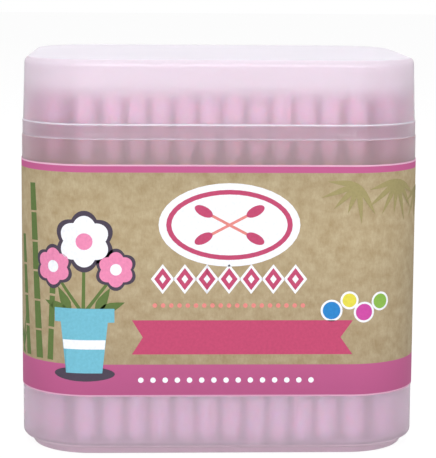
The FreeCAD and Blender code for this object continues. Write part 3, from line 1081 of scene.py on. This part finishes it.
@dataclass
class Swabs:
    """All swabs: bamboo sticks with a wound cotton tip at each end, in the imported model's rows."""

    bamboo: TurnedBamboo = TurnedBamboo()
    cotton: CottonWool = CottonWool()
    pitch: float = 5.1
    foot: float = 2.4
    length: float = 75.0
    stick_width: float = 2.3
    stick_cover: float = 3.0
    tip_width: float = 5.0
    tip_length: float = 14.0
    lumps: float = 0.22
    lump_spacing: float = 2.2
    lump_level: float = 0.62
    unevenness: float = 0.35
    looseness: float = 0.06
    seed: int = 11

    def rows(self) -> list[str]:
        """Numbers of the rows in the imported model."""
        names = [n for n in bpy.data.objects.keys() if n.startswith("sticks_row_")]
        return sorted(name.rsplit("_", 1)[1] for name in names)

    def feet(self) -> list[Vector]:
        """Where each swab stands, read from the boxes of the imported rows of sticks."""
        dice = random.Random(self.seed)
        places = []
        for number in self.rows():
            low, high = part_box(f"sticks_row_{number}")
            first = low.x / MM + self.stick_width / 2
            count = round(((high.x - low.x) / MM - self.stick_width) / self.pitch) + 1
            for i in range(count):
                moves = CORNER_MOVES.get(number, {})
                move = moves.get(i, moves.get(i - count, (0.0, 0.0)))
                x = first + i * self.pitch + dice.uniform(-self.looseness, self.looseness) + move[0]
                y = (low.y + high.y) / 2 / MM + dice.uniform(-self.looseness, self.looseness) + move[1]
                places.append(Vector((x, y, self.foot + dice.uniform(0.0, self.unevenness))))
        return places

    def tip_tree(self) -> Tree:
        """Geometry nodes that stand a spindle of cotton on each point."""
        lengths = {"Length": self.tip_length, "Width": self.tip_width, "Lumps": self.lumps, "Start": 0.0}
        tree, source = swab_group("cotton_tips", lengths, ["Upwards"])
        given = source.outputs
        end = add_node(tree, "ShaderNodeCombineXYZ", links={"Z": given["Length"]})
        line = add_node(tree, "GeometryNodeCurvePrimitiveLine", links={"End": end})
        divided = add_node(tree, "GeometryNodeResampleCurve", {"Count": 10}, {"Curve": line})
        along = add_node(tree, "GeometryNodeSplineParameter")
        swell = add_node(tree, "ShaderNodeFloatCurve", links={"Value": along})
        points = swell.mapping.curves[0].points
        for i, place in enumerate(TIP_SWELL):
            point = points[i] if i < 2 else points.new(*place)
            point.location = place
        swell.mapping.update()
        half = calculate(tree, "MULTIPLY", given["Width"], 0.5)
        circle = add_node(tree, "GeometryNodeCurvePrimitiveCircle", {"Resolution": 12, "Radius": 1.0})
        curves = {
            "Curve": divided,
            "Profile Curve": circle,
            "Scale": calculate(tree, "MULTIPLY", half, swell),
        }
        spindle = add_node(tree, "GeometryNodeCurveToMesh", {"Fill Caps": True}, curves)
        turns = {"Seed": self.seed, "Min": (0.0, 0.0, 0.0), "Max": (0.0, 0.0, 6.283)}
        turned = add_node(tree, "FunctionNodeRandomValue", {"data_type": "FLOAT_VECTOR", **turns})
        upside = add_node(tree, "ShaderNodeCombineXYZ", {"X": math.pi})
        choice = {"Switch": given["Upwards"], "False": upside}
        flipped = add_node(tree, "GeometryNodeSwitch", {"input_type": "VECTOR"}, choice)
        both = {0: turned, 1: flipped}
        turn = add_node(tree, "ShaderNodeVectorMath", {"operation": "ADD"}, both).outputs["Vector"]
        real = stand(tree, given["Geometry"], given["Start"], spindle, turn)
        bulge = add_node(tree, "ShaderNodeTexNoise", {"Scale": 1 / (self.lump_spacing * MM), "Detail": 1.0})
        centred = calculate(tree, "SUBTRACT", bulge, self.lump_level)
        outwards = {
            0: add_node(tree, "GeometryNodeInputNormal").outputs["Normal"],
            "Scale": calculate(tree, "MULTIPLY", centred, given["Lumps"]),
        }
        push = add_node(tree, "ShaderNodeVectorMath", {"operation": "SCALE"}, outwards)
        moved = {"Geometry": real, "Offset": push}
        lumpy = add_node(tree, "GeometryNodeSetPosition", links=moved)
        send_out(tree, lumpy, given["Finish"])
        return tree

    def stick_tree(self) -> Tree:
        """Geometry nodes that stand a round stick on each point."""
        length = self.length - 2 * self.stick_cover
        lengths = {"Length": length, "Width": self.stick_width, "Start": self.stick_cover}
        tree, source = swab_group("bamboo_sticks", lengths)
        given = source.outputs
        sides = {"Radius": calculate(tree, "MULTIPLY", given["Width"], 0.5), "Depth": given["Length"]}
        stick = add_node(tree, "GeometryNodeMeshCylinder", {"Vertices": 10}, sides)
        middle = calculate(tree, "MULTIPLY_ADD", given["Length"], 0.5, given["Start"])
        real = stand(tree, given["Geometry"], middle, stick)
        send_out(tree, real, given["Finish"])
        return tree

    def grown(self, name: str, tree: Tree, inputs: dict) -> bpy.types.Object:
        """Runs a tree on the swabs' feet and keeps its result as a plain mesh.

        Args:
            name: The piece's name.
            tree: The tree to run.
            inputs: Values of the tree's inputs, by name.

        Returns:
            The finished piece.
        """
        seeds = bpy.data.meshes.new(f"{name}_points")
        seeds.from_pydata([tuple(place * MM) for place in self.places], [], [])
        piece = add_object(name, seeds)
        modifier = piece.modifiers.new("rows", "NODES")
        modifier.node_group = tree
        for socket in tree.interface.items_tree:
            if socket.in_out == "INPUT" and socket.name in inputs:
                modifier[socket.identifier] = inputs[socket.name]
        evaluated = piece.evaluated_get(bpy.context.evaluated_depsgraph_get())
        mesh = bpy.data.meshes.new_from_object(evaluated)
        piece.modifiers.remove(modifier)
        piece.data = mesh
        mesh.name = name
        bpy.data.meshes.remove(seeds)
        return piece

    def build(self) -> list[bpy.types.Object]:
        """Makes the sticks, the upper tips and the lower tips of all the swabs."""
        self.places = self.feet()
        rows = self.rows()
        cotton = self.cotton.build()
        tips = self.tip_tree()
        sticks = self.grown("bamboo_sticks", self.stick_tree(), {"Finish": self.bamboo.build()})
        upper_start = (self.length - self.unevenness - self.tip_length) * MM
        upright = {"Finish": cotton, "Upwards": True, "Start": upper_start}
        hanging = {"Finish": cotton, "Upwards": False, "Start": self.tip_length * MM}
        upper = self.grown("upper_cotton_tips", tips, upright)
        lower = self.grown("lower_cotton_tips", tips, hanging)
        parts = (("sticks", "bamboo"), ("upper_tips", "cotton"), ("lower_tips", "cotton"))
        for piece, (prefix, slot) in zip((sticks, upper, lower), parts):
            assign([piece], "tub")
            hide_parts(*(f"{prefix}_row_{number}" for number in rows))
        return [sticks, upper, lower]


def background_share(tree: Tree, inner_share: float = 0.5) -> Socket:
    """Tells the rays that show the background from those that light the tub.

    Args:
        tree: The tree of the floor's material or of the world.
        inner_share: How much of it lights the swabs through the plastic.

    Returns:
        A socket that is 1 for what the camera sees, also in a gloss or through the plastic.
    """
    seen = add_node(tree, "ShaderNodeLightPath").outputs
    through = calculate(tree, "MAXIMUM", seen["Is Glossy Ray"], seen["Is Transmission Ray"])
    either = calculate(tree, "MAXIMUM", through, seen["Is Camera Ray"])
    inside = graded(tree, seen["Diffuse Depth"], (0.0, 1.0), (1.0, inner_share))
    return calculate(tree, "MULTIPLY", either, inside)


@dataclass
class Studio:
    """Pale floor, white surround, soft lamps and the camera."""

    floor_colour: str = "#f6f6f8"
    floor_half: float = 3.0
    floor_glow: float = 1.05
    floor_background: float = 0.9
    world_light: float = 0.3
    sensor: float = 36.0
    camera_at: tuple[float, float, float] = (-15.0, -403.0, 106.3)
    look_down: float = 7.27
    look_right: float = 2.2
    roll: float = 0.4
    focal_pixels: float = 1769.0
    centre_rise_pixels: float = 46.0
    frame_height: float = 458.0

    def floor(self) -> bpy.types.Object:
        """A wide pale floor that keeps the tub's shadow."""
        sheet = bmesh.new()
        bmesh.ops.create_grid(sheet, x_segments=1, y_segments=1, size=self.floor_half)
        mesh = plain_mesh("floor", sheet)
        floor = add_object("floor", mesh)
        material = blank_material("matt_white_paper_sweep")
        tree = material.node_tree
        paper = add_node(tree, "ShaderNodeBsdfDiffuse", {"Color": linear(self.floor_colour)})
        white = {"Color": (1.0, 1.0, 1.0, 1.0), "Strength": self.floor_glow}
        glow = add_node(tree, "ShaderNodeEmission", white)
        share = calculate(tree, "MULTIPLY", background_share(tree), self.floor_background)
        links = {"Fac": share, 1: paper, 2: glow}
        shader = add_node(tree, "ShaderNodeMixShader", links=links)
        add_node(tree, "ShaderNodeOutputMaterial", links={"Surface": shader})
        mesh.materials.append(material)
        return floor

    def surround(self) -> None:
        """A white world for the camera, and a plain grey one for soft light."""
        world = bpy.data.worlds.new("studio")
        world.use_nodes = True
        bpy.context.scene.world = world
        tree = world.node_tree
        tree.nodes.clear()
        level = graded(tree, background_share(tree), (0.0, 1.0), (self.world_light, 1.0))
        sky = add_node(tree, "ShaderNodeBackground", {"Color": (1.0, 1.0, 1.0, 1.0)}, {"Strength": level})
        add_node(tree, "ShaderNodeOutputWorld", links={"Surface": sky})

    def lamp(self, name: str, place: tuple[float, float, float], size: float, power: float) -> None:
        """A soft square lamp that faces the middle of the tub.

        Args:
            name: The lamp's name.
            place: Where it stands, in metres.
            size: Its side, in metres.
            power: Its power, in watts.
        """
        light = bpy.data.lights.new(name, "AREA")
        light.shape = "SQUARE"
        light.size = size
        light.energy = power
        lamp = bpy.data.objects.new(name, light)
        bpy.context.scene.collection.objects.link(lamp)
        lamp.visible_glossy = False
        aim = Vector((0.0, 0.0, 0.045)) - Vector(place)
        lamp.matrix_world = Matrix.Translation(place) @ aim.to_track_quat("-Z", "Y").to_matrix().to_4x4()

    def camera(self) -> None:
        """The camera, where a fit of the tub's edges puts it."""
        data = bpy.data.cameras.new("camera")
        data.sensor_width = self.sensor
        data.lens = self.focal_pixels * self.sensor / self.frame_height
        data.shift_y = -self.centre_rise_pixels / self.frame_height
        data.clip_start = 0.01
        data.clip_end = 20.0
        camera = bpy.data.objects.new("camera", data)
        bpy.context.scene.collection.objects.link(camera)
        turn = Matrix.Rotation(math.radians(-self.look_right), 4, "Z")
        tilt = Matrix.Rotation(math.radians(90.0 - self.look_down), 4, "X")
        roll = Matrix.Rotation(math.radians(self.roll), 4, "Z")
        camera.matrix_world = Matrix.Translation(Vector(self.camera_at) * MM) @ turn @ tilt @ roll
        bpy.context.scene.camera = camera

    def build(self) -> None:
        """Sets up the floor, the light and the camera."""
        self.floor()
        self.surround()
        self.lamp("overhead_softbox", (0.0, 0.0, 0.9), 0.6, 6.5)
        self.lamp("front_softbox", (-0.05, -1.1, 0.32), 0.8, 8.5)
        self.camera()
        bpy.context.scene.view_settings.view_transform = "Standard"


def main() -> None:
    """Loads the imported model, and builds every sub-assembly in order."""
    logging.basicConfig(level=logging.INFO, format="%(name)s: %(message)s")
    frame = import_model()
    LOG.info("packed model: %d nodes", len(frame["nodes"]))
    for assembly in (Tub(), Lid(), Label(), Swabs()):
        for piece in assembly.build():
            LOG.info("%s: %d faces", piece.name, len(piece.data.polygons))
    Studio().build()


if __name__ == "__main__":
    main()
